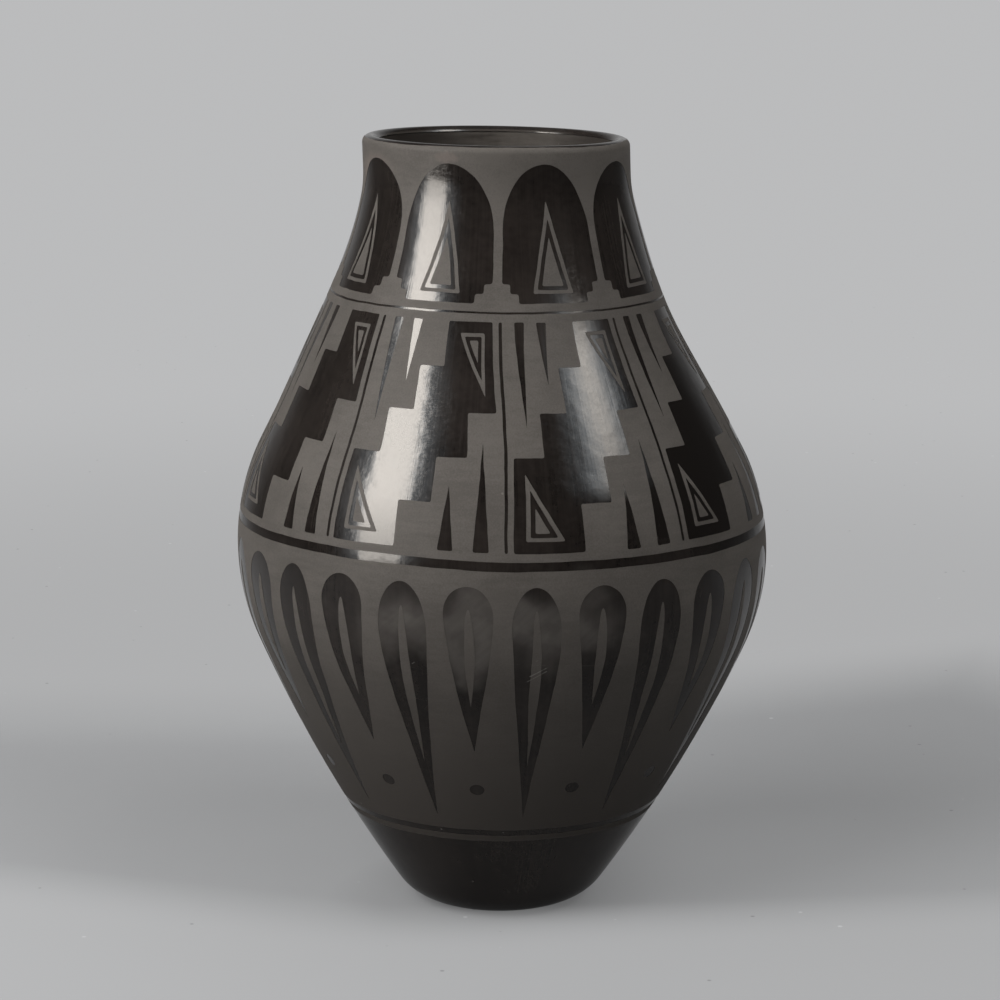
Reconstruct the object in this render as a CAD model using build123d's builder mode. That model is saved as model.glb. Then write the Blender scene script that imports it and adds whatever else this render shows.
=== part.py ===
from build123d import *
import os
from math import atan2, cos, degrees, hypot, radians, sin, sqrt

# A tall hand-built clay jar with a rounded belly and a short straight neck.
#
# The jar is made the way a coil-built pot is made. A base slab is pressed in a shallow dish, rings of
# rolled clay are laid one on the next with a slanting lap joint, a last ring makes the round lip, and
# a thin coat of slip covers the outside and the lip.
#
# The axis of the jar is Z, and the middle of its flat foot is the origin. Sizes are in millimetres.

# Outside of the finished jar
HEIGHT = 330.0
BELLY_DIAMETER = 226.8
BELLY_HEIGHT = 156.5
BELLY_ROUND = 98.0
LOWER_WALL_ROUND = 622.0
FOOT_FLAT_DIAMETER = 54.0
FOOT_ROUND = 22.0
NECK_DIAMETER = 112.2
NECK_LENGTH = 13.2
NECK_BEND_RADIUS = 50.5
NECK_BEND_TURN = 13.4
SHOULDER_STRAIGHT = 52.2

# Thicknesses
CLAY_WALL = 5.6
SLIP = 0.4
FLOOR = 9.0
FLOOR_ROUND = 24.0

# Clearance between the round faces of the slip and of the clay under it
SLIP_CLEARANCE = 0.05

# The slip starts a little way up the foot's rounding, given as the turn from the flat, and ends past the
# top of the lip, given as the turn from the outside of the neck, both in degrees
SLIP_EDGE_TURN = 20.0
SLIP_LIP_TURN = 130.0

# Clay rings: how many each part of the wall has, and the lengths along the wall of the base slab's
# own wall and of the lip ring
LOWER_WALL_RING_COUNT = 4
BELLY_RING_COUNT = 2
SHOULDER_RING_COUNT = 4
NECK_RING_COUNT = 2
BASE_WALL_LENGTH = 22.0
LIP_RING_LENGTH = 14.0

# How much higher a joint between two rings is on the outside of the wall than on the inside
JOINT_LAP = 5.0

# Angles, in degrees
RIGHT_ANGLE = 90.0
HALF_TURN = 180.0


def polar(length, angle):
    """A vector of that length at that angle from the radius, in degrees, in the jar's half section."""
    return Vector(length * cos(radians(angle)), length * sin(radians(angle)))


def direction(vector):
    """The angle of a vector in the half section, in degrees from the radius."""
    return degrees(atan2(vector.Y, vector.X))


def wrapping_centre(low_centre, low_radius, high_centre, high_radius, radius):
    """Centre of the arc of that radius that goes round two smaller circles and touches both."""
    low_reach = radius - low_radius
    high_reach = radius - high_radius
    between = high_centre - low_centre
    span = hypot(between.X, between.Y)
    along = (low_reach**2 - high_reach**2 + span**2) / (2 * span)
    aside = sqrt(low_reach**2 - along**2)
    return low_centre + between * (along / span) + Vector(-between.Y, between.X) * (aside / span)


# Centres of the profile's arcs in the half section, where X is the radius and Y the height
neck_radius = NECK_DIAMETER / 2
neck_foot = HEIGHT - NECK_LENGTH
foot_centre = Vector(FOOT_FLAT_DIAMETER / 2, FOOT_ROUND)
belly_centre = Vector(BELLY_DIAMETER / 2 - BELLY_ROUND, BELLY_HEIGHT)
lower_wall_centre = wrapping_centre(foot_centre, FOOT_ROUND, belly_centre, BELLY_ROUND, LOWER_WALL_ROUND)
neck_bend_centre = Vector(neck_radius + NECK_BEND_RADIUS, neck_foot)

# The shoulder leaves the belly, runs straight and sweeps up into the neck bend. The belly has one point that
# is parallel to the start of the bend. The line from there, lengthened by the straight stretch, leans
# halfway between the bend's start and the shoulder, which gives the shoulder's slope.
bend_start = neck_bend_centre - polar(NECK_BEND_RADIUS, NECK_BEND_TURN)
parallel_point = belly_centre + polar(BELLY_ROUND, NECK_BEND_TURN)
lean_line = bend_start - parallel_point + polar(SHOULDER_STRAIGHT, NECK_BEND_TURN + RIGHT_ANGLE)
shoulder_slope = 2 * (direction(lean_line) - RIGHT_ANGLE) - NECK_BEND_TURN
belly_end = belly_centre + polar(BELLY_ROUND, shoulder_slope)
sweep_start = belly_end + polar(SHOULDER_STRAIGHT, shoulder_slope + RIGHT_ANGLE)
sweep_chord = bend_start - sweep_start
half_sweep = radians((shoulder_slope - NECK_BEND_TURN) / 2)
sweep_radius = hypot(sweep_chord.X, sweep_chord.Y) / (2 * sin(half_sweep))
sweep_centre = bend_start + polar(sweep_radius, NECK_BEND_TURN)

# Angles of the outward normal where the foot runs into the lower wall, and that into the belly
foot_end = direction(foot_centre - lower_wall_centre)
lower_wall_end = direction(belly_centre - lower_wall_centre)

# Depths below the finished outer surface
clay_outside = SLIP + SLIP_CLEARANCE
clay_middle = clay_outside + CLAY_WALL / 2
clay_inside = clay_outside + CLAY_WALL

# The lip is a half round between the outside of the neck and its inside
lip_centre = Vector(neck_radius - clay_middle, HEIGHT - clay_middle)

# The inside of the floor is rounded up into the wall
floor_round_height = FLOOR + FLOOR_ROUND
floor_reach = LOWER_WALL_ROUND - clay_inside - FLOOR_ROUND
floor_round_centre = Vector(
    lower_wall_centre.X + sqrt(floor_reach**2 - (floor_round_height - lower_wall_centre.Y) ** 2),
    floor_round_height,
)
floor_end = direction(floor_round_centre - lower_wall_centre)


def foot_arc(inset, from_turn, to_turn):
    """Draws part of the foot's rounding, between two turns from the flat, in degrees."""
    return CenterArc(foot_centre, FOOT_ROUND - inset, from_turn - RIGHT_ANGLE, to_turn - from_turn)


def neck_outline(inset):
    """Draws the neck bend and the straight neck above it, inset from the finished surface."""
    bend_from = HALF_TURN + NECK_BEND_TURN
    bend = CenterArc(neck_bend_centre, NECK_BEND_RADIUS + inset, bend_from, -NECK_BEND_TURN)
    Line(bend @ 1, (neck_radius - inset, lip_centre.Y))


def wall_outline(inset, lower_wall_start):
    """Draws the wall from the lower wall up to the lip, inset from the finished surface."""
    lower_wall_turn = lower_wall_end - lower_wall_start
    belly_turn = shoulder_slope - lower_wall_end
    sweep_turn = NECK_BEND_TURN - shoulder_slope
    CenterArc(lower_wall_centre, LOWER_WALL_ROUND - inset, lower_wall_start, lower_wall_turn)
    belly = CenterArc(belly_centre, BELLY_ROUND - inset, lower_wall_end, belly_turn)
    sweep = CenterArc(sweep_centre, sweep_radius + inset, HALF_TURN + shoulder_slope, sweep_turn)
    Line(belly @ 1, sweep @ 0)
    neck_outline(inset)


foot_end_turn = foot_end + RIGHT_ANGLE

# Half section of all the clay, before it is divided into rings
with BuildSketch(Plane.XZ) as clay_section:
    with BuildLine():
        Line((0, FLOOR), (0, 0))
        Line((0, 0), (FOOT_FLAT_DIAMETER / 2, 0))
        bare_foot = foot_arc(0, 0, SLIP_EDGE_TURN)
        slipped_foot = foot_arc(clay_outside, SLIP_EDGE_TURN, foot_end_turn)
        Line(bare_foot @ 1, slipped_foot @ 0)
        wall_outline(clay_outside, foot_end)
        CenterArc(lip_centre, CLAY_WALL / 2, 0, HALF_TURN)
        wall_outline(clay_inside, floor_end)
        CenterArc(floor_round_centre, FLOOR_ROUND, -RIGHT_ANGLE, floor_end + RIGHT_ANGLE)
        Line((floor_round_centre.X, FLOOR), (0, FLOOR))
    make_face()

# Half section of the slip, which lies on the clay and ends on the inner side of the lip
with BuildSketch(Plane.XZ) as slip_section:
    with BuildLine():
        outer_foot = foot_arc(0, SLIP_EDGE_TURN, foot_end_turn)
        inner_foot = foot_arc(SLIP, SLIP_EDGE_TURN, foot_end_turn)
        Line(outer_foot @ 0, inner_foot @ 0)
        wall_outline(0, foot_end)
        wall_outline(SLIP, foot_end)
        outer_lip = CenterArc(lip_centre, clay_middle, 0, SLIP_LIP_TURN)
        inner_lip = CenterArc(lip_centre, clay_middle - SLIP, 0, SLIP_LIP_TURN)
        Line(outer_lip @ 1, inner_lip @ 1)
    make_face()

# The middle of the clay wall, along which the joints are spaced
with BuildLine() as wall_middle:
    wall_outline(clay_middle, foot_end)
middle = wall_middle.wire()


def joint_ends(distance):
    """Inner and outer ends of the joint at that distance along the wall, reaching past both faces."""
    centre = middle.position_at(distance, position_mode=PositionMode.LENGTH)
    upward = middle.tangent_at(distance, position_mode=PositionMode.LENGTH)
    outward = Vector(upward.Y, -upward.X)
    slant = outward * CLAY_WALL + upward * JOINT_LAP
    return centre - slant, centre + slant


ring_counts = {
    "lower_wall": LOWER_WALL_RING_COUNT,
    "belly": BELLY_RING_COUNT,
    "shoulder": SHOULDER_RING_COUNT,
    "neck": NECK_RING_COUNT,
}
ring_names = [f"{place}_ring_{number + 1}" for place, count in ring_counts.items() for number in range(count)]
first_joint = BASE_WALL_LENGTH
last_joint = middle.length - LIP_RING_LENGTH
ring_length = (last_joint - first_joint) / len(ring_names)
joints = [joint_ends(first_joint + ring_length * number) for number in range(len(ring_names) + 1)]

os.makedirs("parts", exist_ok=True)

# Base slab: the floor, the rounded foot and the start of the wall, up to the first joint
base_inner, base_outer = joints[0]
with BuildPart() as base_slab:
    with BuildSketch(Plane.XZ):
        add(clay_section.sketch_local)
        below = -FLOOR
        Polygon(
            (0, below),
            (base_outer.X, below),
            (base_outer.X, base_outer.Y),
            (base_inner.X, base_inner.Y),
            (0, base_inner.Y),
            align=None,
            mode=Mode.INTERSECT,
        )
    revolve(axis=Axis.Z)
base_slab.part.label = "base_slab"
export_step(base_slab.part, "parts/base_slab.step")

# Wall rings: one for each stretch of wall between two joints
for name, low, high in zip(ring_names, joints, joints[1:]):
    with BuildPart() as wall_ring:
        with BuildSketch(Plane.XZ):
            add(clay_section.sketch_local)
            Polygon(
                *[(end.X, end.Y) for end in (low[0], low[1], high[1], high[0])],
                align=None,
                mode=Mode.INTERSECT,
            )
        revolve(axis=Axis.Z)
    wall_ring.part.label = name
    export_step(wall_ring.part, f"parts/{name}.step")

# Lip ring: the last ring, with the half-round lip
lip_inner, lip_outer = joints[-1]
with BuildPart() as lip_ring:
    with BuildSketch(Plane.XZ):
        add(clay_section.sketch_local)
        above = HEIGHT + CLAY_WALL
        Polygon(
            (lip_inner.X, lip_inner.Y),
            (lip_outer.X, lip_outer.Y),
            (lip_outer.X, above),
            (lip_inner.X, above),
            align=None,
            mode=Mode.INTERSECT,
        )
    revolve(axis=Axis.Z)
lip_ring.part.label = "lip_ring"
export_step(lip_ring.part, "parts/lip_ring.step")

# Slip coat: the polished skin over the outside and the lip
with BuildPart() as slip_coat:
    add(slip_section.sketch)
    revolve(axis=Axis.Z)
slip_coat.part.label = "slip_coat"
export_step(slip_coat.part, "parts/slip_coat.step")

joint_heights = [(inner.Y + outer.Y) / 2 for inner, outer in joints]
print("joint heights", [round(height, 1) for height in joint_heights])
print("shoulder slope", round(shoulder_slope, 2), "and sweep radius", round(sweep_radius, 2))
print("neck bore radius", round(neck_radius - clay_inside, 3), "from", neck_foot, "to", round(lip_centre.Y, 3))
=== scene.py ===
from functools import wraps
from math import atan2, ceil, cos, pi, radians, sin, sqrt

import bpy
import numpy as np
from bpy.props import FloatProperty, FloatVectorProperty, IntProperty, PointerProperty
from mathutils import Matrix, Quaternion, Vector
from mathutils.geometry import delaunay_2d_cdt


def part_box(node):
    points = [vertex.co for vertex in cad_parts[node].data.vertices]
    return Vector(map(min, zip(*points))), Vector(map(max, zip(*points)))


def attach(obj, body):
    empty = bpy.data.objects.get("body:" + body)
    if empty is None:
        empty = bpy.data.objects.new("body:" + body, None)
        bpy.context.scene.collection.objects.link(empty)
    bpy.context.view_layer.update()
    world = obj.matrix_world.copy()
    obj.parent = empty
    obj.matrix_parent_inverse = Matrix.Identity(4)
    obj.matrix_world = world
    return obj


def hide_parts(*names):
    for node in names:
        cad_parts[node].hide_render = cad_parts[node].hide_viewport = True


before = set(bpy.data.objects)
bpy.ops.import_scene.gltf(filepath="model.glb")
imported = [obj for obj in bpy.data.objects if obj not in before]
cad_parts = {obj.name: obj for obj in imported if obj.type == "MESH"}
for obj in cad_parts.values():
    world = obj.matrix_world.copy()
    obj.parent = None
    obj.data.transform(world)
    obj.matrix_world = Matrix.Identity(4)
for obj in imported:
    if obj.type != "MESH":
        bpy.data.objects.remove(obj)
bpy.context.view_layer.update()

bl_info = {
    "name": "Black Pottery Jar",
    "version": (1, 0, 0),
    "blender": (4, 5, 0),
    "location": "3D View > Sidebar > Pottery Jar",
    "description": "Dresses the solids of a coiled jar in polished slip, matte paint and smoked clay",
    "category": "Object",
}

# The box of the slip, before anything is dressed
SLIP_LOW, SLIP_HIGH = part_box("slip_coat")

RIGHT_ANGLE = pi / 2
FULL_TURN = 2 * pi

# How far the outline may depart from the box of the slip
OUTLINE_TOLERANCE = 0.0001

# How close two points are before they count as one, for loose triangles and for wrapped sheets
SAME_POINT = 0.000002
SEAM_GAP = 0.00002

# Edges that turn by more than this are shaded as edges
SHARP_TURN = radians(45)


def length_setting(name, description, default):
    """A length that a user may change, in metres."""
    return FloatProperty(
        name=name, description=description, default=default, subtype="DISTANCE", unit="LENGTH"
    )


def angle_setting(name, description, degrees):
    """An angle that a user may change."""
    return FloatProperty(
        name=name, description=description, default=radians(degrees), subtype="ANGLE", unit="ROTATION"
    )


def number_setting(name, description, default):
    """A plain number that a user may change."""
    return FloatProperty(name=name, description=description, default=default)


def count_setting(name, description, default):
    """A count that a user may change."""
    return IntProperty(name=name, description=description, default=default)


def colour_setting(name, description, default):
    """A colour that a user may change."""
    return FloatVectorProperty(name=name, description=description, default=default, subtype="COLOR")


class JarOutline(bpy.types.PropertyGroup):
    """Sizes of the jar's outline, the same as those of the solids"""

    height: length_setting("Height", "From the foot to the top of the lip", SLIP_HIGH.z)
    belly_diameter: length_setting("Belly Diameter", "Across the widest place", SLIP_HIGH.x - SLIP_LOW.x)
    belly_height: length_setting("Belly Height", "Height of the widest place", 0.1565)
    belly_round: length_setting("Belly Round", "Radius of the belly's curve", 0.098)
    lower_wall_round: length_setting(
        "Lower Wall Round", "Radius of the slow curve from the foot to the belly", 0.622
    )
    foot_flat: length_setting("Foot Flat", "Diameter of the flat that the jar stands on", 0.054)
    foot_round: length_setting("Foot Round", "Radius of the rounding between the flat and the wall", 0.022)
    shoulder_straight: length_setting(
        "Shoulder Straight", "Length of the straight stretch above the belly", 0.0522
    )
    neck_diameter: length_setting("Neck Diameter", "Across the straight part of the neck", 0.1122)
    neck_length: length_setting("Neck Length", "From the neck's bend to the top of the lip", 0.0132)
    neck_bend_radius: length_setting(
        "Neck Bend Radius", "Radius of the bend from the shoulder into the neck", 0.0505
    )
    neck_bend_turn: angle_setting("Neck Bend Turn", "How far the wall turns in that bend", 13.4)
    neck_wall: length_setting(
        "Neck Wall", "Thickness of the neck with its slip, across the round lip", 0.0065
    )
    slip: length_setting("Slip", "Thickness of the coat of slip", 0.0004)
    slip_edge_turn: angle_setting("Slip Edge Turn", "How far round the foot's curve the slip starts", 20)
    slip_lip_turn: angle_setting("Slip Lip Turn", "How far round the lip's curve the slip ends", 160)


class HandBuilding(bpy.types.PropertyGroup):
    """How far a jar built by hand departs from a true round"""

    lean: length_setting("Lean", "How far the mouth stands to the right of the foot", -0.0017)
    bow: length_setting("Bow", "How far the middle of the wall bows to the right", 0.0013)
    sway: length_setting(
        "Sway", "How far the wall stands to the right where the shoulder meets the neck", -0.0015
    )
    rim_rise: length_setting("Rim Rise", "How far the rim stands above its true height", 0.0009)
    tilt: number_setting("Tilt", "Slope of the rim and the painted lines, down to the right", 0.016)
    undulation: length_setting("Undulation", "How far the scraped wall swells and sinks", 0.00035)
    undulation_size: length_setting("Undulation Size", "Length of one such swelling", 0.055)


class PaintedRows(bpy.types.PropertyGroup):
    """Layout of the matte paint"""

    film: length_setting("Film", "How far the paint stands on the slip", 0.00009)
    sink: length_setting("Sink", "How far the paint reaches into the slip", 0.00006)
    brush_line: length_setting("Brush Line", "Width of a thin painted line", 0.0024)
    fine_line: length_setting("Fine Line", "Width of the lines of the peaks", 0.0015)
    framing_line: length_setting("Framing Line", "Width of the lines that frame a row", 0.0034)
    edge_wobble: length_setting("Edge Wobble", "How far the edge of a brush stroke wavers", 0.00028)
    wobble_size: length_setting("Wobble Size", "Length of one such waver", 0.009)
    hand_drift: length_setting("Hand Drift", "How far a painted figure strays from its place", 0.0011)
    drift_size: length_setting("Drift Size", "Distance over which the painter's hand strays", 0.06)
    neck_top: length_setting("Neck Row Top", "Height of the top of the arches, below the plain band", 0.3225)
    neck_bottom: length_setting(
        "Neck Row Bottom", "Height of the lower edge of the neck's framing line", 0.2659
    )
    shoulder_top: length_setting(
        "Shoulder Row Top", "Height of the upper edge of the shoulder's framing line", 0.2651
    )
    shoulder_bottom: length_setting(
        "Shoulder Row Bottom", "Height of the lower edge of the line above the belly", 0.1729
    )
    lower_top: length_setting("Lower Row Top", "Height of the upper edge of the line at the belly", 0.1692)
    lower_bottom: length_setting("Lower Row Bottom", "Height at which the lower row ends", 0.0490)
    lip_turn: angle_setting("Lip Turn", "How far round the lip the plain band reaches", 48)
    arches: count_setting("Arches", "Number of arches round the neck", 9)
    step_panels: count_setting("Step Panels", "Number of stepped panels round the shoulder", 9)
    feather_pairs: count_setting("Feather Pairs", "Number of pairs of feathers round the lower wall", 13)


class JarFinishes(bpy.types.PropertyGroup):
    """Colours of the jar's finishes"""

    # The dark slip also serves for the painted shade on the right of the shoulder
    slip_dark: colour_setting(
        "Slip Dark", "The polished slip where the smoke was thick", (0.0085, 0.0068, 0.0058)
    )
    slip_brown: colour_setting(
        "Slip Brown", "The polished slip where it shows brown", (0.0235, 0.0190, 0.0164)
    )
    # The dark paint also serves for the painted shade towards the foot, and the light paint for the painted
    # light on the neck
    paint_light: colour_setting("Paint Light", "The matte paint where it lies thick", (0.106, 0.0955, 0.0855))
    paint_dark: colour_setting("Paint Dark", "The matte paint where it lies thin", (0.0745, 0.0667, 0.0595))
    clay_light: colour_setting("Clay Light", "The smoked clay where it was wiped", (0.100, 0.089, 0.078))
    # The dark clay also serves for the painted shade on the neck's inner sides
    clay_dark: colour_setting("Clay Dark", "The smoked clay in its hollows", (0.034, 0.029, 0.025))
    dust: colour_setting("Dust", "Dust and scuffs on the polish", (0.087, 0.0785, 0.0705))
    fleck: colour_setting("Fleck", "Pale specks, scratches and grains of temper", (0.19, 0.18, 0.165))
    smudge: colour_setting("Smudge", "Where the paint shows the red clay below", (0.175, 0.140, 0.123))
    floor: colour_setting("Floor", "The pale floor", (0.345, 0.349, 0.356))
    ground: colour_setting("Ground", "The pale ground far behind the jar", (0.497, 0.500, 0.506))


class StudioLight(bpy.types.PropertyGroup):
    """Brightness of the lamps and the room"""

    key: number_setting("Key", "Brightness of the lamp on the left", 6.05)
    key_window: number_setting(
        "Key Window", "Brightness of the tall window that the polish reflects on the left", 25.0
    )
    fill: number_setting("Fill", "Brightness of the lamp on the right", 5.25)
    fill_window: number_setting(
        "Fill Window", "Brightness of the soft window that the polish reflects on the right", 14.0
    )
    overhead: number_setting("Overhead", "Light of the wide lamp above", 0.20)
    room_front: number_setting("Room Front", "Brightness of the room behind the camera", 0.045)
    room_back: number_setting("Room Back", "Brightness of the room behind the jar", 0.42)


def polar(radius, turn):
    """A vector of that length, turned from the radius of the jar."""
    return Vector((radius * cos(turn), radius * sin(turn)))


def direction(way):
    """How far a vector is turned from the radius of the jar."""
    return atan2(way.y, way.x)


def arc_points(centre, radius, start, end, step):
    """Points along an arc; a negative radius draws the hollow side of the circle."""
    count = max(2, ceil(abs(radius * (end - start)) / step))
    turn = (end - start) / count
    return [centre + polar(radius, start + turn * place) for place in range(count + 1)]


def line_points(start, end, step):
    """Points along a straight line."""
    count = max(1, ceil((end - start).length / step))
    return [start.lerp(end, place / count) for place in range(count + 1)]


def wrapping_centre(low, low_radius, high, high_radius, radius):
    """Centre of the arc of that radius that goes round two smaller circles and touches both."""
    low_reach = radius - low_radius
    high_reach = radius - high_radius
    between = high - low
    span = between.length
    along = (low_reach**2 - high_reach**2 + span**2) / (2 * span)
    aside = sqrt(low_reach**2 - along**2)
    return low + between * (along / span) + Vector((-between.y, between.x)) * (aside / span)


class Outline:
    """The jar's half section, from the slip's edge under the foot to its edge past the top of the lip."""

    BODY_STEP = 0.0005
    LIP_STEP = 0.00015

    def __init__(self, shape):
        foot = Vector((shape.foot_flat / 2, shape.foot_round))
        belly = Vector((shape.belly_diameter / 2 - shape.belly_round, shape.belly_height))
        wall = wrapping_centre(foot, shape.foot_round, belly, shape.belly_round, shape.lower_wall_round)
        neck_radius = shape.neck_diameter / 2
        turn = shape.neck_bend_turn
        bend = Vector((neck_radius + shape.neck_bend_radius, shape.height - shape.neck_length))
        bend_start = bend - polar(shape.neck_bend_radius, turn)
        parallel = belly + polar(shape.belly_round, turn)
        lean_line = bend_start - parallel + polar(shape.shoulder_straight, turn + RIGHT_ANGLE)
        slope = 2 * (direction(lean_line) - RIGHT_ANGLE) - turn
        belly_end = belly + polar(shape.belly_round, slope)
        sweep_start = belly_end + polar(shape.shoulder_straight, slope + RIGHT_ANGLE)
        sweep_radius = (bend_start - sweep_start).length / (2 * sin((slope - turn) / 2))
        sweep = bend_start + polar(sweep_radius, turn)
        foot_end = direction(foot - wall)
        wall_end = direction(belly - wall)
        lip_round = shape.neck_wall / 2
        lip = Vector((neck_radius - lip_round, shape.height - lip_round))
        neck_foot = Vector((neck_radius, bend.y))
        neck_head = Vector((neck_radius, lip.y))
        step = self.BODY_STEP
        outside = arc_points(foot, shape.foot_round, shape.slip_edge_turn - RIGHT_ANGLE, foot_end, step)
        outside += arc_points(wall, shape.lower_wall_round, foot_end, wall_end, step)[1:]
        outside += arc_points(belly, shape.belly_round, wall_end, slope, step)[1:]
        outside += line_points(belly_end, sweep_start, step)[1:]
        outside += arc_points(sweep, -sweep_radius, slope, turn, step)[1:]
        outside += arc_points(bend, -shape.neck_bend_radius, turn, 0, step)[1:]
        outside += line_points(neck_foot, neck_head, step)[1:]
        self.points = outside + arc_points(lip, lip_round, 0, shape.slip_lip_turn, self.LIP_STEP)[1:]
        self.radii = np.array([point.x for point in self.points])
        self.heights = np.array([point.y for point in self.points])
        runs = np.hypot(np.diff(self.radii), np.diff(self.heights))
        self.lengths = np.concatenate(([0.0], np.cumsum(runs)))
        self.outside_count = len(outside)
        self.lip_start = float(self.lengths[len(outside) - 1])
        self.end = float(self.lengths[-1])
        self.lip_round = lip_round
        reach = max(self.radii) - shape.belly_diameter / 2
        rise = max(self.heights) - shape.height
        if max(abs(reach), abs(rise)) > OUTLINE_TOLERANCE:
            raise RuntimeError("The outline doesn't fit the box of the slip")

    def length_at(self, height):
        """Length along the outside at a height."""
        heights = self.heights[: self.outside_count]
        return float(np.interp(height, heights, self.lengths[: self.outside_count]))

    def radius_at(self, length):
        """Radius of the jar at a length along the outline."""
        return float(np.interp(length, self.lengths, self.radii))

    def rows(self, body_step, lip_step):
        """Lengths for the rows of a sheet, closer together over the lip."""
        rows = [0.0]
        for start, end, step in ((0.0, self.lip_start, body_step), (self.lip_start, self.end, lip_step)):
            count = max(2, ceil((end - start) / step))
            rows += [start + (end - start) * place / count for place in range(1, count + 1)]
        return rows

    def as_curve(self):
        """The half section as a curve object that a node tree can read; the caller removes it."""
        curve = bpy.data.curves.new("jar_outline", "CURVE")
        curve.dimensions = "3D"
        spline = curve.splines.new("POLY")
        spline.points.add(len(self.points) - 1)
        for held, point in zip(spline.points, self.points):
            held.co = (point.x, 0.0, point.y, 1.0)
        holder = bpy.data.objects.new("jar_outline", curve)
        bpy.context.scene.collection.objects.link(holder)
        return holder


def remove_curve(holder):
    """Removes a helper curve and its data."""
    curve = holder.data
    bpy.data.objects.remove(holder)
    bpy.data.curves.remove(curve)


class Tile:
    """One repeat of a painted row, drawn flat: metres round the row's own radius, and along the outline."""

    EDGE_STEP = 0.0008
    FILL_STEP = 0.003
    LIP_FILL_STEP = 0.0007

    # The points that fill a tile stand in rows that are shifted by turns, and keep clear of the edges. All of
    # these are shares of their spacing
    ROW_RISE = 0.87
    FIRST_SHIFT = 0.25
    SECOND_SHIFT = 0.75
    EDGE_CLEARANCE = 0.55

    def __init__(self, outline, repeats, low, high):
        self.outline = outline
        self.low = low
        self.high = high
        self.repeats = repeats
        self.radius = outline.radius_at((low + high) / 2)
        self.width = FULL_TURN * self.radius / repeats
        self.loops = []

    def spot(self, share, length, aside=0.0):
        """A place at a share of the repeat's width, and true metres to the right of it."""
        return Vector((share * self.width + aside * self.radius / self.outline.radius_at(length), length))

    def traced(self, corners, place):
        """Points along a closed line between corners, each put in its place on the tile."""
        points = []
        for start, end in zip(corners, corners[1:] + corners[:1]):
            first = Vector(start)
            last = Vector(end)
            count = max(1, ceil((place(*last) - place(*first)).length / self.EDGE_STEP))
            points += [place(*first.lerp(last, part / count)) for part in range(count)]
        return points

    def draw(self, corners, place, softening=2):
        """Adds a painted or an unpainted shape, with the corners that a brush leaves."""
        points = self.traced([tuple(corner) for corner in corners], place)
        for _ in range(softening):
            before = points[-1:] + points[:-1]
            after = points[1:] + points[:1]
            points = [(one + two * 2 + three) / 4 for one, two, three in zip(before, points, after)]
        self.loops.append(points)

    def fill_points(self, edges):
        """Points inside the tile, clear of the edges, so that the paint follows the wall and the lip."""
        rim = np.array([tuple(point) for point in edges])
        lip = max(self.low, self.outline.lip_start)
        stretches = ((self.low, min(self.high, lip), self.FILL_STEP), (lip, self.high, self.LIP_FILL_STEP))
        found = []
        for start, end, step in stretches:
            for number, length in enumerate(np.arange(start, end, step * self.ROW_RISE)):
                shift = self.SECOND_SHIFT if number % 2 else self.FIRST_SHIFT
                for across in np.arange(step * shift, self.width, step):
                    apart = np.hypot(rim[:, 0] - across, rim[:, 1] - length).min()
                    if apart > step * self.EDGE_CLEARANCE:
                        found.append(Vector((across, length)))
        return found

    def as_mesh(self, name, depth):
        """The painted part of the tile, inside an odd number of its shapes, as a flat mesh."""
        corners = [(0.0, self.low), (1.0, self.low), (1.0, self.high), (0.0, self.high)]
        points = []
        faces = []
        for loop in [self.traced(corners, self.spot)] + self.loops:
            faces.append(list(range(len(points), len(points) + len(loop))))
            points += loop
        points += self.fill_points(points)
        spots, _, triangles, _, _, owners = delaunay_2d_cdt(points, [], faces, 1, SAME_POINT)
        painted = [triangle for triangle, owner in zip(triangles, owners) if len(owner) % 2]
        used = sorted({corner for triangle in painted for corner in triangle})
        place = {old: new for new, old in enumerate(used)}
        mesh = bpy.data.meshes.new(name)
        mesh.from_pydata(
            [(spots[old].x, spots[old].y, -depth) for old in used],
            [],
            [[place[corner] for corner in triangle] for triangle in painted],
        )
        return mesh


def inset_triangle(corners, width):
    """A smaller triangle inside another, with its sides moved in by a width."""
    first, second, third = (Vector(corner) for corner in corners)
    sides = ((second - third).length, (third - first).length, (first - second).length)
    around = sum(sides)
    middle = (first * sides[0] + second * sides[1] + third * sides[2]) / around
    area = abs((second - first).cross(third - first)) / 2
    kept = 1 - width * around / (2 * area)
    return [middle + (corner - middle) * kept for corner in (first, second, third)]


# How far in the smaller peak stands inside a thin one, in widths of its line
NESTED_INSET = 2.1


def draw_nested_peak(tile, corners, place, line):
    """Draws a thin peak on a tile, with a smaller one inside it."""
    for inset in (0.0, line, line * NESTED_INSET):
        tile.draw(inset_triangle(corners, inset), place, softening=1)


class Field:
    """What a node puts out. A sum, difference, product or quotient of fields adds a node to their tree."""

    def __init__(self, socket):
        self.socket = socket

    def __add__(self, other):
        return calculate("ADD", self, other)

    def __sub__(self, other):
        return calculate("SUBTRACT", self, other)

    def __rsub__(self, other):
        return calculate("SUBTRACT", other, self)

    def __mul__(self, other):
        return calculate("MULTIPLY", self, other)

    def __truediv__(self, other):
        return calculate("DIVIDE", self, other)

    def __rtruediv__(self, other):
        return calculate("DIVIDE", other, self)


def tree_of(values):
    """The node tree of the first field among some values."""
    return next(value.socket.id_data for value in values if isinstance(value, Field))


def add_node(tree, kind, **options):
    """Adds a node with its options."""
    made = tree.nodes.new(kind)
    for name, value in options.items():
        setattr(made, name, value)
    return made


def feed(socket, value):
    """Gives an input a value, or what another node puts out."""
    if isinstance(value, Field):
        socket.id_data.links.new(value.socket, socket)
    else:
        socket.default_value = value


def fed_in_order(kind, values, **options):
    """A node in the tree of its values, which go to its inputs in order."""
    made = add_node(tree_of(values), kind, **options)
    for socket, value in zip(made.inputs, values):
        feed(socket, value)
    return made


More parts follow.
